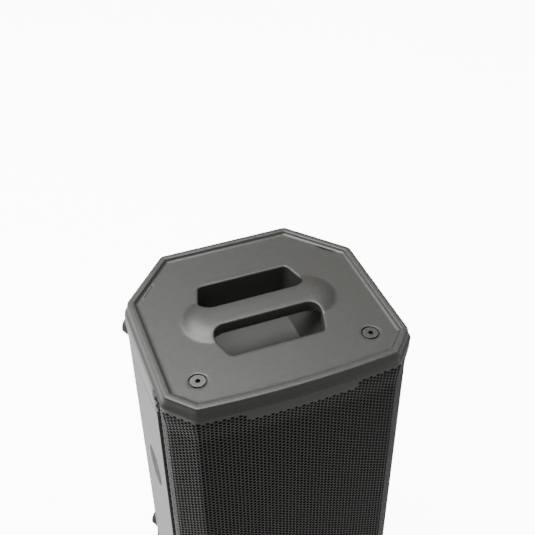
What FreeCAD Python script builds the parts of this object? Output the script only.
"""Portable two-way loudspeaker with an eight-sided moulded cabinet, built as separate pieces.

Millimetres. X to the right of a listener facing the grille, Y from the grille to the amplifier, Z up.
The origin is on the floor, under the middle of the cabinet. Pieces that sit on one another share the
same named planes, and a gap between two pieces is a named clearance.
"""
import FreeCAD, Part
import math
import os

V = FreeCAD.Vector

# ---- cabinet plan, at the crisp outer edge of the top rim ----
HEIGHT = 576.0           # floor to the top of the rim
SIDE_HALF = 166.5        # centre to a straight side
FRONT_HALF = 135.0       # half length of the bowed front edge
BACK_HALF = 96.0         # half length of the back edge
FRONT_Y = -146.5         # ends of the front edge
BACK_Y = 152.5
SIDE_FRONT_Y = -112.5    # front end of a straight side
SIDE_BACK_Y = 72.0       # rear end of a straight side
FRONT_BOW = 6.5          # how far the front edge bulges past its ends
CORNER_R = 9.0

# ---- caps ----
LIP_DROP = 16.0          # rim top down to the lower edge of the flared skirt
LIP_OUT = 5.6            # skirt flare past the rim
EDGE_ROUND = 1.2
RIM_LAND = 7.0           # width of the raised rim
RECESS = 4.5             # rim top down to the panel
RECESS_SLOPE = 2.5
PANEL_T = 4.5
FOOT_GAP = 5.0           # floor to the underside of the bottom cap

# ---- shell ----
SIDE_OUT = 5.5           # side and back faces past the rim
SIDE_SWELL = [(0.0, LIP_OUT), (8.0, 7.0), (17.0, 6.5), (26.0, 5.8), (44.0, SIDE_OUT)]   # distance from cap, offset
WALL = 6.0
FRONT_INSET = 8.0        # step from the side faces in to the part behind the grille
STEP_Y = -81.0           # front end of the side faces
FIT_GAP = 0.3            # between pieces that are laid into one another

# ---- handle ----
HUMP_RISE = 8.0
HUMP_FOOT = (108.0, 44.0)    # half length and half width where the hump leaves the panel
HUMP_TOP = (84.0, 27.0)
CUP_HALF_DEPTH = 72.0        # centre to the front or rear wall of the cup, along Y
CUP_END_HALF = 66.0          # half length of those walls
CUP_MID_HALF = 87.0          # half length at the middle, below the bar
CUP_FLOOR_DROP = 70.0        # panel down to the floor of the cup
CUP_FLOOR_HALF = 58.0
CUP_RAMP_DROP = 27.0         # panel down to where the ramped ends begin
CUP_WALL = 3.0
BAR_HALF = 18.5
BAR_BELLY = 5.0
SLOT_R = 8.0
BAR_ROOT_R = 17.0

# ---- rigging points ----
BOLT_X = 119.0
BOLT_Y = -98.0
BOLT_HEAD_R = 10.4
BOLT_HEAD_H = 5.6
BOLT_R = 5.0
BOLT_LENGTH = 32.0
BOLT_HEX = 6.4
BOLT_HEX_DEPTH = 4.0
BOLT_POCKET_R = 12.3
INSERT_R = 17.0
THREAD_GAP = 0.05

# ---- grille ----
GRILLE_OUT = 1.8
GRILLE_SWELL = [(0.0, LIP_OUT), (8.0, 6.6), (17.0, 6.0), (26.0, 3.8), (34.0, GRILLE_OUT)]
GRILLE_T = 1.5
GRILLE_END_Y = -86.5
GRILLE_GAP = 0.6         # grille edge to a cap
FOAM_T = 3.6
FOAM_HALF = 128.0
CLIP_R = 5.0
CLIP_XZ = [(118, 290), (-118, 290), (118, 530), (-118, 530), (40, 530), (-40, 530)]

# ---- side panels ----
PANEL_SKIN = 3.0
PANEL_BACK_Y = 64.0
PANEL_BOTTOM_Z = 36.0
PANEL_TOP_FRONT_DROP = 64.0
PANEL_TOP_BACK_DROP = 92.0
PANEL_SEAM = 0.6

# ---- baffle and woofer ----
BAFFLE_Y = -130.0
BAFFLE_T = 12.0
WOOFER_Z = 161.0
FRAME_R = 131.0
FLANGE_T = 2.5
CUTOUT_R = 117.0
FRAME_IN_R = 106.0       # inner edge of the frame's seat for the surround
FRAME_STEP = 8.0         # depth of the straight wall behind the seat
FRAME_BACK_R = 72.0      # radius of the frame's rear plate
FRAME_HOLE_R = 34.0
WINDOW_HALF = 34.0
GASKET_T = 1.5
SCREW_HOLE_R = 2.9
WOOFER_SCREW_R = 2.5
HORN_SCREW_R = 2.1
AMP_SCREW_R = 1.9
FOOT_SCREW_R = 1.9
CONE_R = 92.0
CONE_T = 1.2
NECK_H = 4.0
COIL_R = 25.0
COIL_T = 1.0
COIL_FRONT = 26.0        # top plate forward to the front of the coil
COIL_DEPTH = 6.0         # top plate back to the rear of the coil
SURROUND_T = 0.9
SURROUND_FLAT = 3.0
DUST_CAP_R = 33.0
DUST_CAP_RISE = 11.0
DUST_CAP_T = 0.8
SPIDER_T = 0.8
SPIDER_WAVE = 1.6
SPIDER_FRONT = 8.0       # top plate forward to the spider
MAGNET_R = 78.0
PLATE_R = 70.0
POLE_HOLE_R = 6.0
TOP_PLATE_Y = -62.0
TOP_PLATE_T = 8.0
MAGNET_T = 20.0
BACK_PLATE_T = 8.0
COIL_GAP = 1.0           # radial air gap on each side of the coil
MOVING_GAP = 0.5
BRACE_Z = 293.0
BRACE_T = 12.0
PORT_X = 112.0
PORT_Z = 48.0
PORT_R = 20.0
PORT_WALL = 3.0
PORT_LENGTH = 95.0

# ---- horn and compression driver ----
HORN_Z = 396.0
HORN_HALF_W = 118.0
HORN_HALF_H = 80.0
HORN_FLANGE = 12.0
HORN_FLANGE_T = 5.0
HORN_SKIN = 3.0
THROAT_R = 18.0
THROAT_Y = -31.0
DRIVER_R = 60.0
DRIVER_PLATE_T = 12.0
DRIVER_MAGNET_T = 18.0
RING_PLATE_T = 5.0
PLATE_INSET = 4.0        # plates are this much smaller than the magnet
PLUG_R = 40.0
DIAPHRAGM_R = 34.8
DIAPHRAGM_T = 0.5
DIAPHRAGM_GAP = 1.2      # radial air gap on each side of the coil former
DOME_RISE = 9.0
COVER_T = 24.0
COVER_WALL = 3.0

# ---- amplifier module ----
AMP_HALF_W = 89.0
AMP_Z = 288.0
AMP_HALF_H = 216.0
AMP_LEDGE = 8.0
AMP_FRAME = 5.0
AMP_GASKET_T = 1.0
AMP_CORNER_R = 6.0
POCKET_DEPTH = 16.0
AMP_T = 3.0
KNOB_X = 45.0
KNOB_Z = 366.0
KNOB_R = 11.0
KNOB_H = 11.0
SHAFT_R = 3.0
SHAFT_GAP = 0.05
BUSH_R = 4.5
POT_R = 9.0
POT_T = 10.0
ENCODER_Z = 412.0
ENCODER_R = 12.5
BUTTON_X = 38.0
BUTTON_R = 5.7
BUTTON_TRAVEL = 0.8
DISPLAY_Z = 458.0
DISPLAY_HALF = (33.0, 17.0)
SOCKET_X = 38.0
SOCKET_Z = 314.0
LINK_Z = 264.0
SOCKET_HALF = (13.0, 17.0)
SOCKET_R = 11.8
SOCKET_BORE = 9.5
SOCKET_DEPTH = 12.0
SOCKET_BACK = 24.0
SOCKET_FACE_T = 2.0
LATCH_HALF = (4.0, 1.8)
LATCH_TRAVEL = 1.5
SINK_BOTTOM_Z = 128.0
SINK_TOP_Z = 238.0
SINK_HALF = 80.0
FIN_H = 12.0
FIN_T = 2.4
FIN_COUNT = 17
INLET_X = -42.0
ROCKER_X = 42.0
MAINS_Z = 98.0
INLET_HALF = (15.0, 11.5)
ROCKER_R = 13.0
ROCKER_HALF_W = 8.0
ROCKER_TILT = 8.0
BOARD_Y = 112.0
BOARD_T = 1.6

# ---- pole socket and feet ----
POLE_Y = 20.0
POLE_R = 18.0
POLE_WALL = 3.5
POLE_DEPTH = 85.0
POLE_FLANGE_R = 44.0
FOOT_X = 118.0
FOOT_FRONT_Y = -88.0
FOOT_BACK_Y = 58.0
FOOT_R = 16.0
FOOT_SEAT = 2.0
FOOT_SINK = 3.5          # underside of a foot up to the seat of its screw head
FOOT_HEAD_R = 3.9
FOOT_HEAD_H = 2.3
SIDE_FOOT_BASE_R = 15.0
SIDE_FOOT_TIP_R = 10.5
SIDE_FOOT_H = 12.0
SIDE_FOOT_FROM_EDGE = 16.0
SIDE_FOOT_FROM_END = 58.0
LEAD_R = 2.2

# ---- planes that several pieces share ----
SHELL_TOP = HEIGHT - LIP_DROP
SHELL_BOTTOM = FOOT_GAP + LIP_DROP
PANEL_Z = HEIGHT - RECESS
PANEL_UNDER = PANEL_Z - PANEL_T
SHELL_IN = SIDE_OUT - WALL
FRONT_SHELL_OUT = SIDE_OUT - FRONT_INSET
FRONT_SHELL_IN = FRONT_SHELL_OUT - WALL
BACK_FACE_Y = BACK_Y + SIDE_OUT
FRAME_SEAT_Y = BAFFLE_Y - GASKET_T
FRAME_FACE_Y = FRAME_SEAT_Y - FLANGE_T
CONE_FRONT_Y = FRAME_FACE_Y - 1.0
NECK_Y = TOP_PLATE_Y - COIL_FRONT
SPIDER_Y = TOP_PLATE_Y - SPIDER_FRONT
DRIVER_FRONT_Y = THROAT_Y + DRIVER_PLATE_T
DRIVER_BACK_Y = DRIVER_FRONT_Y + DRIVER_MAGNET_T
GAP_RING_R = COIL_R + COIL_T
AMP_FACE_Y = BACK_FACE_Y - POCKET_DEPTH
AMP_BACK_Y = AMP_FACE_Y - AMP_T
SIDE_FACE_X = SIDE_HALF + SIDE_OUT
FAR = 900.0


def save(name, shape):
    """Write one named piece, after checking that its solids are whole."""
    if not shape.isValid() or not shape.Solids:
        raise ValueError(name + " is not a valid solid")
    shape.exportStep("parts/" + name + ".step")
    print(name, len(shape.Solids), round(shape.Volume / 1000.0, 1), "cm3")


# ---------------------------------------------------------------- basic shapes

def box(x0, x1, y0, y1, z0, z1):
    return Part.makeBox(x1 - x0, y1 - y0, z1 - z0, V(x0, y0, z0))


def rod(x, y0, y1, z, r):
    """A cylinder along Y."""
    return Part.makeCylinder(r, y1 - y0, V(x, y0, z), V(0, 1, 0))


def post(x, y, z0, z1, r):
    """A cylinder along Z."""
    return Part.makeCylinder(r, z1 - z0, V(x, y, z0), V(0, 0, 1))


def turned(profile, z, x=0.0):
    """A profile of (radius, y) points turned about the axis through (x, z) along Y."""
    points = [V(x + r, y, z) for r, y in profile]
    face = Part.Face(Part.makePolygon(points + points[:1]))
    return face.revolve(V(x, 0, z), V(0, 1, 0), 360)


def fuse(shapes):
    return shapes[0].multiFuse(shapes[1:]).removeSplitter()


def mirrored(shape):
    """The same piece on the other side of the cabinet."""
    return shape.mirror(V(0, 0, 0), V(1, 0, 0))


def rounded(points, radii, place):
    """A closed wire through points with each corner rounded by its radius; place(u, v) gives a Vector."""
    count = len(points)
    starts, ends, mids = [], [], []
    for i, (px, py) in enumerate(points):
        ax, ay = points[i - 1]
        bx, by = points[(i + 1) % count]
        ux, uy = unit(px - ax, py - ay)
        wx, wy = unit(bx - px, by - py)
        turn = math.acos(max(-1.0, min(1.0, ux * wx + uy * wy)))
        reach = radii[i] * math.tan(turn / 2)
        starts.append((px - ux * reach, py - uy * reach))
        ends.append((px + wx * reach, py + wy * reach))
        dip = radii[i] * (1 / math.cos(turn / 2) - 1)
        mx, my = unit(wx - ux, wy - uy)
        mids.append((px + mx * dip, py + my * dip))
    edges = []
    for i in range(count):
        if radii[i] > 0:
            edges.append(Part.Arc(place(*starts[i]), place(*mids[i]), place(*ends[i])).toShape())
        edges.append(Part.LineSegment(place(*ends[i]), place(*starts[(i + 1) % count])).toShape())
    return Part.Wire(edges)


def unit(x, y):
    length = math.hypot(x, y)
    return x / length, y / length


def level(z):
    return lambda x, y: V(x, y, z)


def upright(y):
    return lambda x, z: V(x, y, z)


def plate(half_w, half_h, radius, x, z, y0, y1):
    """An upright plate with rounded corners between two Y planes."""
    corners = [(x - half_w, z - half_h), (x + half_w, z - half_h), (x + half_w, z + half_h), (x - half_w, z + half_h)]
    return Part.Face(rounded(corners, [radius] * 4, upright(y0))).extrude(V(0, y1 - y0, 0))


# ---------------------------------------------------------------- cabinet plan

def plan_lines(out):
    """The eight sides of the plan as (nx, ny, distance), moved outward."""
    right = [(FRONT_HALF, FRONT_Y), (SIDE_HALF, SIDE_FRONT_Y), (SIDE_HALF, SIDE_BACK_Y), (BACK_HALF, BACK_Y)]
    lines = [(0.0, -1.0, -FRONT_Y + out)]
    for (x0, y0), (x1, y1) in zip(right, right[1:]):
        dx, dy = unit(x1 - x0, y1 - y0)
        lines.append((dy, -dx, dy * x0 - dx * y0 + out))
    lines.append((0.0, 1.0, BACK_Y + out))
    lines += [(-nx, ny, d) for nx, ny, d in reversed(lines[1:4])]
    return lines


def plan_corners(out):
    """The eight corners, anticlockwise from the front left one."""
    lines = plan_lines(out)
    corners = []
    for i, (bx, by, bd) in enumerate(lines):
        ax, ay, ad = lines[i - 1]
        det = ax * by - ay * bx
        corners.append(((ad * by - bd * ay) / det, (ax * bd - bx * ad) / det))
    return corners


def outline(z, out):
    """The rounded eight-sided wire at height z, moved outward, with its bowed front edge."""
    corners = plan_corners(out)
    chord = corners[1][0] - corners[0][0]
    lift = 2 * math.atan(2 * FRONT_BOW / chord)
    radius = max(1.0, CORNER_R + out)
    ends = []
    for i, (px, py) in enumerate(corners):
        ax, ay = corners[i - 1]
        bx, by = corners[(i + 1) % 8]
        into, out_of = unit(px - ax, py - ay), unit(bx - px, by - py)
        if i == 0:
            out_of = (math.cos(lift), -math.sin(lift))
        if i == 1:
            into = (math.cos(lift), math.sin(lift))
        turn = math.acos(into[0] * out_of[0] + into[1] * out_of[1])
        reach = radius * math.tan(turn / 2)
        dip = radius * (1 / math.cos(turn / 2) - 1)
        mx, my = unit(out_of[0] - into[0], out_of[1] - into[1])
        ends.append(((px - into[0] * reach, py - into[1] * reach), (px + mx * dip, py + my * dip),
                     (px + out_of[0] * reach, py + out_of[1] * reach)))
    edges = []
    for i, (start, middle, end) in enumerate(ends):
        edges.append(Part.Arc(V(*start, z), V(*middle, z), V(*end, z)).toShape())
        after = ends[(i + 1) % 8][0]
        if i == 0:
            sag = (after[0] - end[0]) / 2 * math.tan(lift / 2)
            top = V(0, (end[1] + after[1]) / 2 - sag, z)
            edges.append(Part.Arc(V(*end, z), top, V(*after, z)).toShape())
        else:
            edges.append(Part.LineSegment(V(*end, z), V(*after, z)).toShape())
    return Part.Wire(edges)


def slab(z0, z1, out):
    """A prism of the plan."""
    return Part.Face(outline(z0, out)).extrude(V(0, 0, z1 - z0))


def flare(sections):
    """A solid through outlines of (z, out)."""
    return Part.makeLoft([outline(z, out) for z, out in sections], True, True)


def skin(swell, gap=0.0, inward=0.0):
    """A solid from cap to cap, swelling at both ends to meet them."""
    lower = [(SHELL_BOTTOM + gap + along, out - inward) for along, out in swell]
    upper = [(SHELL_TOP - gap - along, out - inward) for along, out in reversed(swell)]
    return flare(lower + upper)


# ---------------------------------------------------------------- caps and handle

def cup_plan(grow=0.0):
    """Corners of the six-sided handle cup."""
    e, m, d = CUP_END_HALF + grow, CUP_MID_HALF + grow, CUP_HALF_DEPTH + grow
    return [(-e, -d), (e, -d), (m, 0), (e, d), (-e, d), (-m, 0)]


def cup_half_at(y):
    return CUP_MID_HALF - (CUP_MID_HALF - CUP_END_HALF) * abs(y) / CUP_HALF_DEPTH


def handle_slot(sign):
    """The opening in front of (sign -1) or behind (sign 1) the handle bar."""
    inner = cup_half_at(BAR_HALF)
    points = [(-CUP_END_HALF, sign * CUP_HALF_DEPTH), (CUP_END_HALF, sign * CUP_HALF_DEPTH),
              (inner, sign * BAR_HALF), (-inner, sign * BAR_HALF)]
    radii = [SLOT_R, SLOT_R, BAR_ROOT_R, BAR_ROOT_R]
    if sign > 0:
        points.reverse()
        radii.reverse()
    face = Part.Face(rounded(points, radii, level(PANEL_UNDER - BAR_BELLY - 1)))
    return face.extrude(V(0, 0, FAR))


def stadium(z, half_length, half_width):
    points = [(-half_length, -half_width), (half_length, -half_width), (half_length, half_width),
              (-half_length, half_width)]
    return rounded(points, [half_width * 0.96] * 4, level(z))


def cap_tray(rim_z, sign):
    """An eight-sided flared cap with its skirt on the shell; sign 1 opens down, -1 opens up."""
    return flare([(rim_z - sign * LIP_DROP, LIP_OUT), (rim_z - sign * EDGE_ROUND, EDGE_ROUND / 3),
                  (rim_z, -EDGE_ROUND / 2)])


def top_cap():
    cap = cap_tray(HEIGHT, 1)
    recess = flare([(PANEL_Z, -RIM_LAND - RECESS_SLOPE), (HEIGHT + 0.01, -RIM_LAND)])
    cap = cap.cut(recess)
    cap = cap.cut(slab(SHELL_TOP - 1, PANEL_UNDER, FRONT_SHELL_IN))
    hump = Part.makeLoft([stadium(PANEL_UNDER, *HUMP_FOOT), stadium(PANEL_Z, *HUMP_FOOT)], True, True)
    crown = Part.makeLoft([stadium(PANEL_Z, *HUMP_FOOT), stadium(PANEL_Z + HUMP_RISE, *HUMP_TOP)], True, True)
    belly = Part.Face(rounded(cup_plan(-FIT_GAP), [0] * 6, level(PANEL_UNDER - BAR_BELLY)))
    belly = belly.extrude(V(0, 0, BAR_BELLY + 1)).common(
        box(-FAR, FAR, -BAR_HALF, BAR_HALF, 0, FAR))
    cap = fuse([cap, hump, crown, belly])
    cap = cap.cut(handle_slot(-1)).cut(handle_slot(1))
    for x in (-BOLT_X, BOLT_X):
        cap = cap.cut(post(x, BOLT_Y, PANEL_UNDER - 1, HEIGHT, BOLT_POCKET_R))
    return cap


def handle_cup():
    floor_z = PANEL_Z - CUP_FLOOR_DROP
    ramp_z = PANEL_Z - CUP_RAMP_DROP
    outer = Part.Face(rounded(cup_plan(CUP_WALL), [SLOT_R + CUP_WALL, SLOT_R + CUP_WALL, 3] * 2,
                              level(floor_z - CUP_WALL)))
    outer = outer.extrude(V(0, 0, PANEL_UNDER - floor_z + CUP_WALL))
    inner = Part.Face(rounded(cup_plan(), [SLOT_R, SLOT_R, 0] * 2, level(floor_z))).extrude(V(0, 0, FAR))
    section = [(-CUP_FLOOR_HALF, floor_z), (CUP_FLOOR_HALF, floor_z), (CUP_MID_HALF + 1, ramp_z),
               (CUP_MID_HALF + 1, HEIGHT), (-CUP_MID_HALF - 1, HEIGHT), (-CUP_MID_HALF - 1, ramp_z)]
    ends = Part.Face(rounded(section, [0] * 6, upright(-FAR))).extrude(V(0, 2 * FAR, 0))
    return outer.cut(inner.common(ends))


def bottom_cap():
    cap = cap_tray(FOOT_GAP, -1)
    cap = cap.cut(slab(FOOT_GAP + PANEL_T, SHELL_BOTTOM + 1, FRONT_SHELL_IN))
    cap = cap.cut(post(0, POLE_Y, 0, SHELL_BOTTOM, POLE_R + POLE_WALL + FIT_GAP))
    for x, y in foot_places():
        cap = cap.cut(post(x, y, 0, FOOT_GAP + FOOT_SEAT, FOOT_R + FIT_GAP))
        cap = cap.cut(post(x, y, 0, SHELL_BOTTOM, FOOT_SCREW_R + THREAD_GAP))
    return cap


# ---------------------------------------------------------------- shell, side panels, grille

def side_panel_face(x, gap=0.0):
    """The side panel's outline, with its sloping top edge."""
    points = [(STEP_Y - FIT_GAP * (gap > 0), PANEL_BOTTOM_Z - gap), (PANEL_BACK_Y + gap, PANEL_BOTTOM_Z - gap),
              (PANEL_BACK_Y + gap, HEIGHT - PANEL_TOP_BACK_DROP + gap),
              (STEP_Y - FIT_GAP * (gap > 0), HEIGHT - PANEL_TOP_FRONT_DROP + gap)]
    return Part.Face(rounded(points, [0, 10 + gap, 16 + gap, 0], lambda y, z: V(x, y, z)))


def side_panel():
    skin = side_panel_face(SIDE_FACE_X - PANEL_SKIN).extrude(V(PANEL_SKIN, 0, 0))
    edges = [e for e in skin.Edges if all(abs(v.X - SIDE_FACE_X) < 0.01 for v in e.Vertexes)]
    return skin.makeChamfer(0.5, edges)


def cabinet_shell():
    rear = skin(SIDE_SWELL).common(box(-FAR, FAR, STEP_Y, FAR, 0, FAR))
    front = slab(SHELL_BOTTOM, SHELL_TOP, FRONT_SHELL_OUT).common(
        box(-FAR, FAR, BAFFLE_Y, STEP_Y + 1, 0, FAR))
    shell = rear.fuse(front)
    rear_room = slab(SHELL_BOTTOM - 1, SHELL_TOP + 1, SHELL_IN).common(
        box(-FAR, FAR, STEP_Y + WALL, FAR, 0, FAR))
    front_room = slab(SHELL_BOTTOM - 1, SHELL_TOP + 1, FRONT_SHELL_IN).common(
        box(-FAR, FAR, -FAR, STEP_Y + WALL + 1, 0, FAR))
    shell = shell.cut(rear_room).cut(front_room)
    frame = plate(AMP_HALF_W + AMP_FRAME, AMP_HALF_H + AMP_FRAME, 10, 0, AMP_Z,
                  AMP_BACK_Y - AMP_FRAME, BACK_FACE_Y - 1)
    shell = shell.fuse(frame)
    shell = shell.cut(plate(AMP_HALF_W, AMP_HALF_H, AMP_CORNER_R, 0, AMP_Z, AMP_BACK_Y - AMP_GASKET_T, FAR))
    shell = shell.cut(plate(AMP_HALF_W - AMP_LEDGE, AMP_HALF_H - AMP_LEDGE, AMP_CORNER_R - 1, 0, AMP_Z, 0, FAR))
    for x, z in amp_screw_places():
        shell = shell.cut(rod(x, AMP_BACK_Y - AMP_FRAME - 1, FAR, z, AMP_SCREW_R + THREAD_GAP))
    pocket = side_panel_face(SIDE_FACE_X - PANEL_SKIN, PANEL_SEAM).extrude(V(PANEL_SKIN + 1, 0, 0))
    shell = shell.cut(pocket).cut(mirrored(pocket))
    return shell.removeSplitter()


def grille():
    """Perforated sheet, shown unpierced, that wraps the front and both front chamfers."""
    sheet = skin(GRILLE_SWELL, GRILLE_GAP).cut(skin(GRILLE_SWELL, GRILLE_GAP, GRILLE_T))
    return sheet.common(box(-FAR, FAR, -FAR, GRILLE_END_Y, 0, FAR))


def grille_room(gap):
    """Everything behind the grille, less a gap."""
    return slab(0, HEIGHT, GRILLE_OUT - GRILLE_T - gap)


def acoustic_foam():
    bottom, top = SHELL_BOTTOM + 8, SHELL_TOP - 8
    sheet = slab(bottom, top, GRILLE_OUT - GRILLE_T - FIT_GAP)
    sheet = sheet.cut(slab(bottom - 1, top + 1, GRILLE_OUT - GRILLE_T - FIT_GAP - FOAM_T))
    sheet = sheet.common(box(-FOAM_HALF, FOAM_HALF, -FAR, 0, 0, FAR))
    for x, z in CLIP_XZ:
        sheet = sheet.cut(rod(x, -FAR, 0, z, CLIP_R + FIT_GAP))
    return sheet


def grille_clips():
    posts = [rod(x, -FAR, BAFFLE_Y, z, CLIP_R).common(grille_room(FIT_GAP)) for x, z in CLIP_XZ]
    return Part.makeCompound(posts)


def front_baffle():
    board = slab(SHELL_BOTTOM + FIT_GAP, SHELL_TOP - FIT_GAP, FRONT_SHELL_IN - FIT_GAP)
    board = board.common(box(-FAR, FAR, BAFFLE_Y, BAFFLE_Y + BAFFLE_T, 0, FAR))
    board = board.cut(rod(0, -FAR, 0, WOOFER_Z, CUTOUT_R + FIT_GAP))
    board = board.cut(plate(HORN_HALF_W + HORN_SKIN + 1, HORN_HALF_H + HORN_SKIN + 1, 10, 0, HORN_Z, -FAR, 0))
    for x in (-PORT_X, PORT_X):
        board = board.cut(rod(x, -FAR, 0, PORT_Z, PORT_R + PORT_WALL + FIT_GAP))
    for x, z in woofer_screw_places():
        board = board.cut(rod(x, -FAR, 0, z, WOOFER_SCREW_R + THREAD_GAP))
    for x, z in horn_screw_places():
        board = board.cut(rod(x, -FAR, 0, z, HORN_SCREW_R + THREAD_GAP))
    return board


def brace():
    board = slab(BRACE_Z, BRACE_Z + BRACE_T, SHELL_IN - FIT_GAP)
    board = board.common(slab(0, HEIGHT, SHELL_IN - FIT_GAP).common(
        box(-FAR, FAR, STEP_Y + WALL + FIT_GAP, AMP_BACK_Y - AMP_LEDGE, 0, FAR)))
    window = [(-130, -55), (130, -55), (118, 80), (74, FAR), (-74, FAR), (-118, 80)]
    window = Part.Face(rounded(window, [12, 12, 10, 0, 0, 10], level(0))).extrude(V(0, 0, FAR))
    return board.cut(window)


def port_tube():
    """One tube with a flared mouth."""
    y0 = BAFFLE_Y - 1.0
    outer = PORT_R + PORT_WALL
    profile = [(PORT_R + 2, y0 - 2), (outer + 3, y0 - 2), (outer + 3, y0 + 1), (outer, y0 + 1), (outer, y0 + PORT_LENGTH),
               (PORT_R, y0 + PORT_LENGTH), (PORT_R, y0 + 6), (PORT_R + 0.6, y0 + 2)]
    return turned(profile, PORT_Z, PORT_X)


# ---------------------------------------------------------------- woofer

def frame_inner_r(y):
    """Inner radius of the frame's conical body at depth y."""
    y0, y1 = FRAME_SEAT_Y + FRAME_STEP, TOP_PLATE_Y - FLANGE_T
    return FRAME_IN_R + (FRAME_BACK_R - FRAME_IN_R) * (y - y0) / (y1 - y0)


def cone_face_y(r):
    """Depth of the cone's front face at radius r."""
    neck_front = NECK_Y + NECK_H
    return neck_front + (CONE_FRONT_Y - neck_front) * (r - GAP_RING_R) / (CONE_R - CONE_T - GAP_RING_R)


def woofer_basket():
    """Pressed frame: mounting flange, conical body with six windows, seat for the top plate."""
    step_y = FRAME_SEAT_Y + FRAME_STEP
    profile = [(FRAME_IN_R, FRAME_FACE_Y), (FRAME_R, FRAME_FACE_Y), (FRAME_R, FRAME_SEAT_Y),
               (CUTOUT_R - FIT_GAP, FRAME_SEAT_Y), (FRAME_IN_R + FLANGE_T, step_y),
               (FRAME_BACK_R + FLANGE_T, TOP_PLATE_Y), (FRAME_HOLE_R, TOP_PLATE_Y),
               (FRAME_HOLE_R, TOP_PLATE_Y - FLANGE_T), (FRAME_BACK_R, TOP_PLATE_Y - FLANGE_T), (FRAME_IN_R, step_y)]
    frame = turned(profile, WOOFER_Z)
    for i in range(6):
        window = box(frame_inner_r(SPIDER_Y - 8), CUTOUT_R + FLANGE_T, step_y + 5, SPIDER_Y - 8,
                     WOOFER_Z - WINDOW_HALF, WOOFER_Z + WINDOW_HALF)
        window.rotate(V(0, 0, WOOFER_Z), V(0, 1, 0), 60 * i + 30)
        frame = frame.cut(window)
    for x, z in woofer_screw_places():
        frame = frame.cut(rod(x, FRAME_FACE_Y - 1, BAFFLE_Y, z, SCREW_HOLE_R))
    return frame


def woofer_screw_places():
    r = (FRAME_R + CUTOUT_R) / 2
    return [(r * math.cos(math.radians(a)), WOOFER_Z + r * math.sin(math.radians(a))) for a in range(22, 360, 45)]


def woofer_gasket():
    ring = turned([(CUTOUT_R + 1, FRAME_SEAT_Y), (FRAME_R, FRAME_SEAT_Y), (FRAME_R, BAFFLE_Y),
                   (CUTOUT_R + 1, BAFFLE_Y)], WOOFER_Z)
    for x, z in woofer_screw_places():
        ring = ring.cut(rod(x, FRAME_FACE_Y - 1, BAFFLE_Y + 1, z, SCREW_HOLE_R))
    return ring


def pan_screws(places, face_y, sign, head_r, head_h, shank_r, length):
    """Pan-head screws along Y; sign is the way that the head points."""
    screws = []
    for x, z in places:
        head = Part.makeCylinder(head_r, head_h, V(x, face_y, z), V(0, sign, 0))
        rim = [e for e in head.Edges if e.Closed and abs(e.CenterOfMass.y - face_y - sign * head_h) < 0.01]
        head = head.makeFillet(head_h * 0.45, rim)
        recess = Part.makeBox(head_r * 1.1, head_h, head_r * 0.3, V(x - head_r * 0.55, 0, z - head_r * 0.15))
        recess.translate(V(0, face_y + sign * head_h * 0.55 - (head_h if sign < 0 else 0), 0))
        cross = recess.copy()
        cross.rotate(V(x, 0, z), V(0, 1, 0), 90)
        shank = Part.makeCylinder(shank_r, length, V(x, face_y, z), V(0, -sign, 0))
        screws.append(head.fuse(shank).cut(recess).cut(cross))
    return Part.makeCompound(screws)


def woofer_cone():
    """Paper cone with a short neck on the voice coil."""
    neck_front = NECK_Y + NECK_H
    return turned([(GAP_RING_R, neck_front), (GAP_RING_R, neck_front + NECK_H),
                   (GAP_RING_R + CONE_T, neck_front + NECK_H), (CONE_R, CONE_FRONT_Y + CONE_T),
                   (CONE_R, CONE_FRONT_Y), (CONE_R - CONE_T, CONE_FRONT_Y)], WOOFER_Z)


def woofer_surround():
    """Half-roll edge from the cone's rim to the frame's seat, glued to the seat."""
    r0, r1 = CONE_R + MOVING_GAP, FRAME_IN_R
    middle, radius = (r0 + r1) / 2, (r1 - r0) / 2
    angles = [math.radians(a) for a in range(0, 181, 20)]
    over = [(middle - radius * math.cos(a), FRAME_FACE_Y - SURROUND_T - radius * math.sin(a)) for a in angles]
    thin = radius - SURROUND_T
    under = [(middle + thin * math.cos(a), FRAME_FACE_Y - SURROUND_T - thin * math.sin(a)) for a in angles]
    edge = FRAME_IN_R + SURROUND_FLAT
    return turned(over + [(edge, FRAME_FACE_Y - SURROUND_T), (edge, FRAME_FACE_Y), (r1 - SURROUND_T, FRAME_FACE_Y)]
                  + under, WOOFER_Z)


def dust_cap():
    """Shallow dome glued to the cone, over the voice coil."""
    y, thin = cone_face_y(DUST_CAP_R), DUST_CAP_R - DUST_CAP_T
    angles = [math.radians(a) for a in range(0, 91, 15)]
    outer = [(DUST_CAP_R * math.sin(a), y - DUST_CAP_RISE * math.cos(a)) for a in angles]
    inner = [(thin * math.sin(a), y - (DUST_CAP_RISE - DUST_CAP_T) * math.cos(a)) for a in reversed(angles)]
    inner[0] = (thin, cone_face_y(thin))
    return turned(outer + inner, WOOFER_Z)


def voice_coil():
    return turned([(COIL_R, NECK_Y), (GAP_RING_R, NECK_Y), (GAP_RING_R, TOP_PLATE_Y + COIL_DEPTH),
                   (COIL_R, TOP_PLATE_Y + COIL_DEPTH)], WOOFER_Z)


def woofer_spider():
    """Corrugated centring disc between the coil and the basket."""
    waves = 4
    r0, r1 = GAP_RING_R + MOVING_GAP, frame_inner_r(SPIDER_Y)
    step = (r1 - r0) / (waves * 4)
    top = [(r0 + i * step, SPIDER_Y - SPIDER_WAVE * math.sin(i * math.pi / 2)) for i in range(waves * 4 + 1)]
    return turned(top + [(r, h + SPIDER_T) for r, h in reversed(top)], WOOFER_Z).cut(basket_body())


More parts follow.
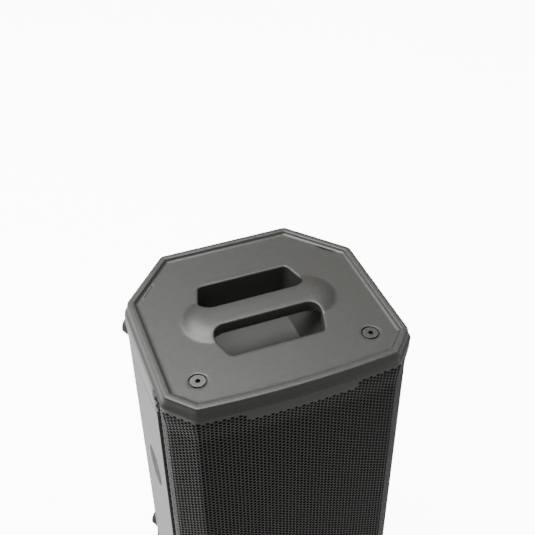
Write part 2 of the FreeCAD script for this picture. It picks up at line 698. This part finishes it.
def basket_body():
    """The solid cone of the basket's outside, less its inside."""
    y0, y1 = FRAME_SEAT_Y + FRAME_STEP, TOP_PLATE_Y - FLANGE_T
    return turned([(FRAME_IN_R, y0), (FRAME_IN_R + 20, y0), (FRAME_BACK_R + 20, y1), (FRAME_BACK_R, y1)], WOOFER_Z)


def woofer_motor_plates():
    """Steel top plate, and back plate with its pole."""
    gap_r = GAP_RING_R + COIL_GAP
    magnet_back = TOP_PLATE_Y + TOP_PLATE_T + MAGNET_T
    top = turned([(gap_r, TOP_PLATE_Y), (PLATE_R, TOP_PLATE_Y), (PLATE_R, TOP_PLATE_Y + TOP_PLATE_T),
                  (gap_r, TOP_PLATE_Y + TOP_PLATE_T)], WOOFER_Z)
    back = turned([(POLE_HOLE_R, TOP_PLATE_Y), (COIL_R - COIL_GAP, TOP_PLATE_Y), (COIL_R - COIL_GAP, magnet_back),
                   (PLATE_R, magnet_back), (PLATE_R, magnet_back + BACK_PLATE_T),
                   (POLE_HOLE_R, magnet_back + BACK_PLATE_T)], WOOFER_Z)
    return Part.makeCompound([top, back])


def woofer_magnet():
    y, hole = TOP_PLATE_Y + TOP_PLATE_T, FRAME_HOLE_R
    return turned([(hole, y), (MAGNET_R, y), (MAGNET_R, y + MAGNET_T), (hole, y + MAGNET_T)], WOOFER_Z)


# ---------------------------------------------------------------- horn and compression driver

def horn_section(y, half_w, half_h, radius):
    corners = [(-half_w, HORN_Z - half_h), (half_w, HORN_Z - half_h), (half_w, HORN_Z + half_h),
               (-half_w, HORN_Z + half_h)]
    return rounded(corners, [radius] * 4, upright(y))


def horn():
    face_y = BAFFLE_Y - HORN_FLANGE_T
    stations = [(face_y, HORN_HALF_W, HORN_HALF_H, 14), (face_y + 34, HORN_HALF_W * 0.66, HORN_HALF_H * 0.6, 16),
                (face_y + 74, HORN_HALF_W * 0.32, HORN_HALF_H * 0.36, 17),
                (THROAT_Y, THROAT_R, THROAT_R, THROAT_R - 0.2)]
    inner = Part.makeLoft([horn_section(*s) for s in stations], True, False)
    outer = Part.makeLoft([horn_section(y, w + HORN_SKIN, h + HORN_SKIN, r + HORN_SKIN) for y, w, h, r in stations],
                          True, False)
    flange = plate(HORN_HALF_W + HORN_FLANGE, HORN_HALF_H + 10, 14, 0, HORN_Z, face_y, BAFFLE_Y)
    seat = rod(0, THROAT_Y - 6, THROAT_Y, HORN_Z, THROAT_R + 22)
    body = fuse([outer, flange, seat]).cut(inner)
    for x, z in horn_screw_places():
        body = body.cut(rod(x, -FAR, 0, z, 2.4))
    return body


def horn_screw_places():
    w, h = HORN_HALF_W + HORN_FLANGE / 2 + 0.5, HORN_HALF_H
    return [(x, HORN_Z + z) for x in (-w, w) for z in (-h + 8, 0, h - 8)]


def driver_plates():
    """Front plate on the horn's seat, and the ring plate behind the magnet."""
    front = turned([(THROAT_R, THROAT_Y), (DRIVER_R - PLATE_INSET, THROAT_Y), (DRIVER_R - PLATE_INSET, DRIVER_FRONT_Y),
                    (THROAT_R + 3, DRIVER_FRONT_Y)], HORN_Z)
    ring_r, edge = DIAPHRAGM_R + DIAPHRAGM_GAP, DRIVER_R - PLATE_INSET
    ring = turned([(ring_r, DRIVER_BACK_Y), (edge, DRIVER_BACK_Y), (edge, DRIVER_BACK_Y + RING_PLATE_T),
                   (ring_r, DRIVER_BACK_Y + RING_PLATE_T)], HORN_Z)
    return Part.makeCompound([front, ring])


def driver_magnet():
    return turned([(PLUG_R + 4, DRIVER_FRONT_Y), (DRIVER_R, DRIVER_FRONT_Y), (DRIVER_R, DRIVER_BACK_Y),
                   (PLUG_R + 4, DRIVER_BACK_Y)], HORN_Z)


def driver_phase_plug():
    """Pole piece with the widening passage from the throat to the diaphragm."""
    pole = DIAPHRAGM_R - DIAPHRAGM_GAP - DIAPHRAGM_T
    return turned([(THROAT_R + 3, DRIVER_FRONT_Y), (PLUG_R, DRIVER_FRONT_Y), (PLUG_R, DRIVER_BACK_Y - 6),
                   (pole, DRIVER_BACK_Y - 6), (pole, DRIVER_BACK_Y - 1), (THROAT_R + 8, DRIVER_BACK_Y - 1)], HORN_Z)


def driver_diaphragm():
    """Domed foil with its short coil former."""
    y, r, t = DRIVER_BACK_Y + 3, DIAPHRAGM_R, DIAPHRAGM_T
    outer = [(r * math.sin(math.radians(a)), y + DOME_RISE * math.cos(math.radians(a))) for a in range(0, 91, 15)]
    inner = [((r - t) * math.sin(math.radians(a)), y + (DOME_RISE - t) * math.cos(math.radians(a)))
             for a in range(90, -1, -15)]
    return turned(outer + [(r, DRIVER_BACK_Y - 2), (r - t, DRIVER_BACK_Y - 2)] + inner, HORN_Z)


def driver_rear_cover():
    y = DRIVER_BACK_Y + RING_PLATE_T
    r, t, soft = DRIVER_R - 8, COVER_WALL, 4.0
    return turned([(r - t, y), (r, y), (r, y + COVER_T - soft), (r - soft, y + COVER_T), (0, y + COVER_T),
                   (0, y + COVER_T - t), (r - soft - t, y + COVER_T - t), (r - t, y + COVER_T - soft - t)], HORN_Z)


# ---------------------------------------------------------------- amplifier module

def amp_screw_places():
    w, h = AMP_HALF_W - AMP_LEDGE / 2, AMP_HALF_H - AMP_LEDGE / 2
    sides = [(x, AMP_Z + z) for x in (-w, w) for z in (-h + 6, -h / 3, h / 3, h - 6)]
    return sides + [(0, AMP_Z - h), (0, AMP_Z + h)]


def socket_places():
    return {"input_socket_1": (-SOCKET_X, SOCKET_Z), "input_socket_2": (SOCKET_X, SOCKET_Z),
            "link_socket": (0.0, LINK_Z)}


def amp_panel():
    face = plate(AMP_HALF_W - FIT_GAP, AMP_HALF_H - FIT_GAP, AMP_CORNER_R, 0, AMP_Z, AMP_BACK_Y, AMP_FACE_Y)
    face = face.cut(plate(*DISPLAY_HALF, 3, 0, DISPLAY_Z, 0, FAR))
    for x in (-KNOB_X, KNOB_X):
        face = face.cut(rod(x, 0, FAR, KNOB_Z, BUSH_R + FIT_GAP))
    face = face.cut(rod(0, 0, FAR, ENCODER_Z, BUSH_R + FIT_GAP))
    for x in (-BUTTON_X, BUTTON_X):
        face = face.cut(rod(x, 0, FAR, ENCODER_Z, BUTTON_R + FIT_GAP))
    for x, z in socket_places().values():
        face = face.cut(rod(x, 0, FAR, z, SOCKET_R + FIT_GAP))
    for x in (-SOCKET_X, SOCKET_X):
        face = face.cut(plate(LATCH_HALF[0] + 1, LATCH_HALF[1] + 1, 0.5, x, latch_z(), 0, FAR))
    face = face.cut(plate(INLET_HALF[0] - 1, INLET_HALF[1] - 1, 2, INLET_X, MAINS_Z, 0, FAR))
    face = face.cut(plate(ROCKER_HALF_W + 2, ROCKER_R + 2, 1.5, ROCKER_X, MAINS_Z, 0, FAR))
    for x, z in amp_screw_places():
        face = face.cut(rod(x, 0, FAR, z, AMP_SCREW_R + FIT_GAP))
    return face


def heat_sink():
    """Finned casting on the panel's outer face, below the sockets."""
    base = plate(SINK_HALF, (SINK_TOP_Z - SINK_BOTTOM_Z) / 2, 2, 0, (SINK_TOP_Z + SINK_BOTTOM_Z) / 2,
                 AMP_FACE_Y, AMP_FACE_Y + 2)
    pitch = (2 * SINK_HALF - FIN_T - 4) / (FIN_COUNT - 1)
    fins = []
    for i in range(FIN_COUNT):
        x = -SINK_HALF + 2 + i * pitch
        fins.append(box(x, x + FIN_T, AMP_FACE_Y + 1, AMP_FACE_Y + FIN_H, SINK_BOTTOM_Z + 2, SINK_TOP_Z - 2))
    return fuse([base] + fins)


def display_window():
    w, h = DISPLAY_HALF
    lens = plate(w - FIT_GAP, h - FIT_GAP, 2.6, 0, DISPLAY_Z, AMP_BACK_Y, AMP_FACE_Y - 0.6)
    return lens.fuse(plate(w + 4, h + 4, 3, 0, DISPLAY_Z, AMP_BACK_Y - 1.5, AMP_BACK_Y)).removeSplitter()


def rotary_body(x, z):
    """Potentiometer or encoder can behind the panel, with its threaded bush."""
    can = rod(x, AMP_BACK_Y - POT_T, AMP_BACK_Y, z, POT_R)
    bush = rod(x, AMP_BACK_Y - 2, AMP_FACE_Y + 0.6, z, BUSH_R)
    return can.fuse(bush).cut(rod(x, AMP_BACK_Y - POT_T + 2, FAR, z, SHAFT_R + SHAFT_GAP))


def potentiometers():
    return Part.makeCompound([rotary_body(-KNOB_X, KNOB_Z), rotary_body(KNOB_X, KNOB_Z)])


def knob_cap(x, z, r, y0, height):
    """Fluted knob with a soft front edge."""
    body = rod(x, y0, y0 + height, z, r)
    body = body.makeFillet(1.2, [e for e in body.Edges if e.Closed and e.CenterOfMass.y > y0 + height - 0.1])
    for i in range(12):
        angle = math.radians(30 * i + 15)
        body = body.cut(rod(x + (r + 0.9) * math.cos(angle), y0 + 2, FAR, z + (r + 0.9) * math.sin(angle), 1.7))
    return body


def volume_knob(x):
    y0 = AMP_FACE_Y + 1.0
    body = knob_cap(x, KNOB_Z, KNOB_R, y0, KNOB_H)
    shaft = rod(x, AMP_BACK_Y - POT_T + 2.5, y0 + 1, KNOB_Z, SHAFT_R)
    pointer = box(x - 0.6, x + 0.6, y0 + KNOB_H - 0.6, FAR, KNOB_Z + 3, KNOB_Z + KNOB_R)
    return body.fuse(shaft).cut(pointer)


def encoder_spindle():
    return rod(0, AMP_BACK_Y - POT_T + 2.5, AMP_FACE_Y + 9, ENCODER_Z, SHAFT_R)


def encoder_knob():
    y0 = AMP_FACE_Y + 1.8
    body = knob_cap(0, ENCODER_Z, ENCODER_R, y0, KNOB_H)
    return body.cut(rod(0, 0, AMP_FACE_Y + 10, ENCODER_Z, SHAFT_R + SHAFT_GAP))


def push_button(x):
    cap = rod(x, AMP_BACK_Y - 1, AMP_FACE_Y + 2.6, ENCODER_Z, BUTTON_R)
    cap = cap.makeFillet(0.8, [e for e in cap.Edges if e.Closed and e.CenterOfMass.y > AMP_FACE_Y + 2])
    flange = rod(x, AMP_BACK_Y - 1.6, AMP_BACK_Y - FIT_GAP, ENCODER_Z, BUTTON_R + 1.3)
    return cap.fuse(flange).removeSplitter()


def switch_bodies():
    """Tactile switches and the encoder can, on their small board."""
    y1 = AMP_BACK_Y - 1.6 - BUTTON_TRAVEL - FIT_GAP
    cans = [box(x - 6, x + 6, y1 - 5, y1, ENCODER_Z - 6, ENCODER_Z + 6) for x in (-BUTTON_X, BUTTON_X)]
    return Part.makeCompound(cans + [rotary_body(0, ENCODER_Z)])


def latch_z():
    return SOCKET_Z + SOCKET_R + 1.0


def chassis_socket(x, z, pins, latch):
    """Round chassis socket with a square flange and a blind mouth for a cable plug."""
    half_w, half_h = SOCKET_HALF
    flange = plate(half_w, half_h, 3, x, z, AMP_FACE_Y, AMP_FACE_Y + SOCKET_FACE_T)
    body = rod(x, AMP_BACK_Y - SOCKET_BACK, AMP_FACE_Y + SOCKET_FACE_T, z, SOCKET_R)
    mouth_y = AMP_FACE_Y + SOCKET_FACE_T - SOCKET_DEPTH
    socket = flange.fuse(body).removeSplitter().cut(rod(x, mouth_y, FAR, z, SOCKET_BORE))
    for angle in (90, 210, 330):
        px = x + 5.2 * math.cos(math.radians(angle))
        pz = z + 5.2 * math.sin(math.radians(angle))
        if pins:
            socket = socket.fuse(rod(px, mouth_y - 1, mouth_y + 4, pz, 1.2))
        else:
            socket = socket.cut(rod(px, mouth_y - 8, mouth_y + 1, pz, 1.4))
    if not pins:
        socket = socket.cut(rod(x, mouth_y - 10, mouth_y + 1, z, 3.2))
    if latch:
        socket = socket.cut(plate(LATCH_HALF[0] + 0.4, LATCH_HALF[1] + 0.4, 0.4, x, latch_z(), 0, FAR))
    return socket


def latch_tab(x):
    """Release tab of an input socket, pressed towards the panel."""
    w, h = LATCH_HALF
    tab = plate(w, h, 0.6, x, latch_z(), AMP_BACK_Y - 4, AMP_FACE_Y + SOCKET_FACE_T + 2)
    return tab


def mains_inlet():
    w, h = INLET_HALF
    front = plate(w + 3, h + 3, 3, INLET_X, MAINS_Z, AMP_FACE_Y, AMP_FACE_Y + 2)
    body = plate(w - 1.4, h - 1.4, 1.6, INLET_X, MAINS_Z, AMP_BACK_Y - 24, AMP_FACE_Y + 1)
    body = front.fuse(body).cut(plate(w - 3.4, h - 3.4, 3, INLET_X, MAINS_Z, AMP_FACE_Y - 14, FAR))
    for dx, dz in ((-7, 0), (7, 0), (0, 4)):
        body = body.fuse(box(INLET_X + dx - 1, INLET_X + dx + 1, AMP_FACE_Y - 15, AMP_FACE_Y - 3,
                             MAINS_Z + dz - 2, MAINS_Z + dz + 2))
    return body


def rocker_frame():
    w, h = ROCKER_HALF_W, ROCKER_R
    front = plate(w + 4, h + 4, 2, ROCKER_X, MAINS_Z, AMP_FACE_Y, AMP_FACE_Y + 2)
    body = plate(w + 1.6, h + 1.6, 1, ROCKER_X, MAINS_Z, AMP_BACK_Y - 20, AMP_FACE_Y + 1)
    return front.fuse(body).cut(plate(w + 0.4, h + 0.4, 0.5, ROCKER_X, MAINS_Z, AMP_BACK_Y - 18, FAR))


def power_rocker():
    """Rocker on a cross axis, stored in its off position."""
    y = AMP_FACE_Y - 6
    x0, x1 = ROCKER_X - ROCKER_HALF_W, ROCKER_X + ROCKER_HALF_W
    drum = Part.makeCylinder(ROCKER_R, x1 - x0, V(x0, y, MAINS_Z), V(1, 0, 0))
    rise = ROCKER_R * math.tan(math.radians(ROCKER_TILT))
    section = [(y - 8, MAINS_Z - ROCKER_R), (y + 8 + rise, MAINS_Z - ROCKER_R), (y + 8, MAINS_Z),
               (y + 8 + rise, MAINS_Z + ROCKER_R), (y - 8, MAINS_Z + ROCKER_R)]
    body = Part.Face(rounded(section, [0] * 5, lambda a, b: V(x0, a, b))).extrude(V(x1 - x0, 0, 0))
    body = drum.common(body)
    body.rotate(V(ROCKER_X, y, MAINS_Z), V(1, 0, 0), ROCKER_TILT)
    return body


def amp_board():
    return box(-74, 74, BOARD_Y - BOARD_T, BOARD_Y, 250, 492)


def board_pillars():
    """Spacers that hold both boards off the panel."""
    spots = [(x, z) for x in (-68, 68) for z in (86, 232, 256, 486)]
    return Part.makeCompound([rod(x, BOARD_Y, AMP_BACK_Y, z, 3.2) for x, z in spots])


def power_board():
    return box(-74, 74, BOARD_Y - BOARD_T, BOARD_Y, 80, 238)


def transformer():
    y1 = BOARD_Y - BOARD_T
    core = box(-30, 22, y1 - 38, y1, 150, 206)
    coil = box(-22, 14, y1 - 44, y1 - 38, 158, 198)
    return core.fuse(coil).removeSplitter()


def capacitors():
    y1 = BOARD_Y - BOARD_T
    return Part.makeCompound([rod(x, y1 - 40, y1, z, 12.5) for x, z in ((48, 205), (48, 175), (-54, 205), (-54, 175))])


def amp_chips():
    """Power stage on the board, pressed to the panel by pads."""
    return Part.makeCompound([box(x - 9, x + 9, BOARD_Y, BOARD_Y + 6, z, z + 16) for x in (-40, 40) for z in (262, 286)])


def amp_gasket():
    ring = plate(AMP_HALF_W - 1, AMP_HALF_H - 1, AMP_CORNER_R, 0, AMP_Z, AMP_BACK_Y - AMP_GASKET_T, AMP_BACK_Y)
    ring = ring.cut(plate(AMP_HALF_W - AMP_LEDGE, AMP_HALF_H - AMP_LEDGE, AMP_CORNER_R - 1, 0, AMP_Z, 0, FAR))
    for x, z in amp_screw_places():
        ring = ring.cut(rod(x, 0, FAR, z, AMP_SCREW_R + FIT_GAP))
    return ring


# ---------------------------------------------------------------- rigging, pole socket, feet, leads

def rigging_bolts():
    """Two flush hexagon-socket bolts in the top panel."""
    bolts = []
    for x in (-BOLT_X, BOLT_X):
        head = Part.makeCone(BOLT_R, BOLT_HEAD_R, BOLT_HEAD_H - 1.2, V(x, BOLT_Y, PANEL_Z - BOLT_HEAD_H))
        band = post(x, BOLT_Y, PANEL_Z - 1.2, PANEL_Z, BOLT_HEAD_R)
        band = band.makeChamfer(0.35, [e for e in band.Edges if e.Closed and e.CenterOfMass.z > PANEL_Z - 0.1])
        shank = post(x, BOLT_Y, PANEL_Z - BOLT_LENGTH, PANEL_Z - BOLT_HEAD_H, BOLT_R)
        reach = BOLT_HEX / math.sqrt(3)
        points = [V(x + reach * math.cos(math.radians(60 * i)), BOLT_Y + reach * math.sin(math.radians(60 * i)),
                    PANEL_Z - BOLT_HEX_DEPTH) for i in range(6)]
        socket = Part.Face(Part.makePolygon(points + points[:1])).extrude(V(0, 0, FAR))
        bolts.append(fuse([head, band, shank]).cut(socket))
    return Part.makeCompound(bolts)


def rigging_inserts():
    """Steel inserts under the panel that take the bolts."""
    inserts = []
    for x in (-BOLT_X, BOLT_X):
        collar = post(x, BOLT_Y, PANEL_Z - BOLT_LENGTH - 4, PANEL_UNDER, INSERT_R)
        seat = post(x, BOLT_Y, PANEL_UNDER - 4, PANEL_Z - 2.2, BOLT_POCKET_R - FIT_GAP)
        sink = Part.makeCone(BOLT_R + THREAD_GAP, BOLT_HEAD_R + THREAD_GAP, BOLT_HEAD_H - 1.2,
                             V(x, BOLT_Y, PANEL_Z - BOLT_HEAD_H - THREAD_GAP))
        sink = sink.fuse(post(x, BOLT_Y, PANEL_Z - 1.2 - THREAD_GAP, PANEL_Z + 1, BOLT_HEAD_R + THREAD_GAP))
        bore = post(x, BOLT_Y, PANEL_Z - BOLT_LENGTH - 2, PANEL_Z, BOLT_R + THREAD_GAP)
        inserts.append(fuse([collar, seat]).cut(sink).cut(bore))
    return Part.makeCompound(inserts)


def pole_socket():
    """Blind socket for a stand pole, its mouth flush with the bottom cap."""
    top = FOOT_GAP + POLE_DEPTH
    outer = POLE_R + POLE_WALL
    cup = post(0, POLE_Y, FOOT_GAP, top + POLE_WALL, outer)
    flange = post(0, POLE_Y, FOOT_GAP + PANEL_T, FOOT_GAP + PANEL_T + 3, POLE_FLANGE_R)
    return cup.fuse(flange).removeSplitter().cut(post(0, POLE_Y, 0, top, POLE_R))


def foot_places():
    return [(x, y) for x in (-FOOT_X, FOOT_X) for y in (FOOT_FRONT_Y, FOOT_BACK_Y)]


def bottom_feet():
    feet = []
    for x, y in foot_places():
        pad = post(x, y, 0, FOOT_GAP + FOOT_SEAT, FOOT_R)
        pad = pad.makeFillet(1.5, [e for e in pad.Edges if e.Closed and e.CenterOfMass.z < 0.1])
        pad = pad.cut(post(x, y, 0, FOOT_SINK, FOOT_HEAD_R + FIT_GAP)).cut(post(x, y, 0, FAR, FOOT_SCREW_R + FIT_GAP))
        feet.append(pad)
    return Part.makeCompound(feet)


def foot_screws():
    screws = []
    for x, y in foot_places():
        head = post(x, y, FOOT_SINK - FOOT_HEAD_H, FOOT_SINK, FOOT_HEAD_R)
        shank = post(x, y, FOOT_SINK, FOOT_GAP + PANEL_T, FOOT_SCREW_R)
        screws.append(head.fuse(shank).removeSplitter())
    return Part.makeCompound(screws)


def rear_left_chamfer():
    """Start corner, direction along the face and outward normal of the left rear chamfer."""
    corners = plan_corners(SIDE_OUT)
    back, side = corners[5], corners[6]
    dx, dy = unit(back[0] - side[0], back[1] - side[1])
    length = math.hypot(back[0] - side[0], back[1] - side[1])
    return side, (dx, dy), (-dy, dx), length


def side_foot_places():
    """Base centres of the four feet that the cabinet lies on as a floor wedge."""
    (x0, y0), (dx, dy), normal, length = rear_left_chamfer()
    spots = []
    for along in (SIDE_FOOT_FROM_EDGE, length - SIDE_FOOT_FROM_EDGE):
        for z in (SIDE_FOOT_FROM_END, HEIGHT - SIDE_FOOT_FROM_END):
            spots.append(V(x0 + dx * along, y0 + dy * along, z))
    return spots, V(*normal, 0)


def side_feet():
    feet = []
    spots, normal = side_foot_places()
    body = skin(SIDE_SWELL)
    for spot in spots:
        foot = Part.makeCone(SIDE_FOOT_BASE_R, SIDE_FOOT_TIP_R, SIDE_FOOT_H, spot, normal)
        foot = foot.makeFillet(1.5, [e for e in foot.Edges if e.Closed and
                                     (e.CenterOfMass - spot).Length > SIDE_FOOT_H - 0.1])
        foot = foot.cut(Part.makeCylinder(FOOT_HEAD_R + FIT_GAP, FAR, spot + normal * (SIDE_FOOT_H / 2), normal))
        feet.append(foot.cut(body))
    return Part.makeCompound(feet)


def side_foot_screws():
    spots, normal = side_foot_places()
    return Part.makeCompound([Part.makeCylinder(FOOT_HEAD_R, FOOT_HEAD_H, spot + normal * (SIDE_FOOT_H / 2), normal)
                              for spot in spots])


def damping_pad():
    """Fibre pad on the inside of a side wall."""
    x1 = SIDE_HALF + SHELL_IN - FIT_GAP
    return box(x1 - 22, x1, STEP_Y + WALL + 8, SIDE_BACK_Y - 6, 110, BRACE_Z - 6)


def bent_lead(points):
    """A round lead along straight runs joined by tangent arcs."""
    edges, here = [], points[0]
    for before, corner, after in zip(points, points[1:], points[2:]):
        a, b = corner - before, after - corner
        turn = a.getAngle(b)
        reach = 0.45 * min(a.Length, b.Length)
        start = corner - V(a).normalize() * reach
        end = corner + V(b).normalize() * reach
        radius = reach / math.tan(turn / 2)
        inward = (V(b).normalize() - V(a).normalize()).normalize()
        middle = corner + inward * (radius * (1 / math.cos(turn / 2) - 1))
        edges.append(Part.LineSegment(here, start).toShape())
        edges.append(Part.Arc(start, middle, end).toShape())
        here = end
    edges.append(Part.LineSegment(here, points[-1]).toShape())
    path = Part.Wire(edges)
    ring = Part.Wire(Part.makeCircle(LEAD_R, points[0], points[1] - points[0]))
    return path.makePipeShell([ring], True, True)


def woofer_lead():
    """From the amplifier to the rib on the right of the woofer frame."""
    y1 = BOARD_Y - BOARD_T
    lug_y = SPIDER_Y - 10
    lug_x = frame_inner_r(lug_y - LEAD_R) + FLANGE_T + 2
    return bent_lead([V(66, y1, 262), V(66, y1 - 30, 262), V(92, y1 - 62, 240), V(100, y1 - 100, 208),
                      V(118, -40, 172), V(108, lug_y, WOOFER_Z), V(lug_x, lug_y, WOOFER_Z)])


def driver_lead():
    y1 = BOARD_Y - BOARD_T
    y0 = DRIVER_BACK_Y + RING_PLATE_T + COVER_T
    return bent_lead([V(20, y1, 430), V(20, y1 - 22, 430), V(14, y1 - 44, 418), V(0, y0 + 20, 398), V(0, y0, 398)])


def main():
    os.makedirs("parts", exist_ok=True)
    right_panel = side_panel()
    right_pad = damping_pad()
    right_port = port_tube()
    pieces = {
        "top_cap": top_cap(), "handle_cup": handle_cup(), "bottom_cap": bottom_cap(),
        "cabinet_shell": cabinet_shell(), "side_panel_right": right_panel, "side_panel_left": mirrored(right_panel),
        "grille": grille(), "acoustic_foam": acoustic_foam(), "grille_clips": grille_clips(),
        "front_baffle": front_baffle(), "brace": brace(),
        "port_tubes": Part.makeCompound([right_port, mirrored(right_port)]),
        "damping_pads": Part.makeCompound([right_pad, mirrored(right_pad)]),
        "woofer_basket": woofer_basket(), "woofer_gasket": woofer_gasket(), "woofer_cone": woofer_cone(),
        "woofer_surround": woofer_surround(), "dust_cap": dust_cap(), "voice_coil": voice_coil(),
        "woofer_spider": woofer_spider(), "woofer_motor_plates": woofer_motor_plates(),
        "woofer_magnet": woofer_magnet(),
        "woofer_screws": pan_screws(woofer_screw_places(), FRAME_FACE_Y, -1, 4.4, 2.6, WOOFER_SCREW_R, 14),
        "horn": horn(),
        "horn_screws": pan_screws(horn_screw_places(), BAFFLE_Y - HORN_FLANGE_T, -1, 3.8, 2.2, HORN_SCREW_R, 16),
        "driver_plates": driver_plates(), "driver_magnet": driver_magnet(), "driver_phase_plug": driver_phase_plug(),
        "driver_diaphragm": driver_diaphragm(), "driver_rear_cover": driver_rear_cover(),
        "amp_panel": amp_panel(), "amp_gasket": amp_gasket(), "heat_sink": heat_sink(),
        "amp_screws": pan_screws(amp_screw_places(), AMP_FACE_Y, 1, 3.6, 2.2, AMP_SCREW_R, 10),
        "display_window": display_window(), "potentiometers": potentiometers(),
        "volume_knob_1": volume_knob(-KNOB_X), "volume_knob_2": volume_knob(KNOB_X),
        "encoder_spindle": encoder_spindle(), "encoder_knob": encoder_knob(),
        "push_button_1": push_button(-BUTTON_X), "push_button_2": push_button(BUTTON_X),
        "switch_bodies": switch_bodies(),
        "mains_inlet": mains_inlet(), "rocker_frame": rocker_frame(), "power_rocker": power_rocker(),
        "latch_tab_1": latch_tab(-SOCKET_X), "latch_tab_2": latch_tab(SOCKET_X),
        "circuit_boards": Part.makeCompound([amp_board(), power_board()]), "board_pillars": board_pillars(),
        "board_components": Part.makeCompound([transformer(), capacitors(), amp_chips()]),
        "internal_leads": Part.makeCompound([woofer_lead(), driver_lead()]),
        "rigging_hardware": rigging_inserts(), "rigging_bolts": rigging_bolts(),
        "pole_socket": pole_socket(),
        "feet": Part.makeCompound([bottom_feet(), side_feet()]),
        "foot_screws": Part.makeCompound([foot_screws(), side_foot_screws()]),
    }
    sockets = {name: chassis_socket(x, z, name == "link_socket", name != "link_socket")
               for name, (x, z) in socket_places().items()}
    pieces["input_sockets"] = Part.makeCompound([sockets["input_socket_1"], sockets["input_socket_2"]])
    pieces["link_socket"] = sockets["link_socket"]
    for name, shape in pieces.items():
        save(name, shape)
    print(len(pieces), "pieces")


main()
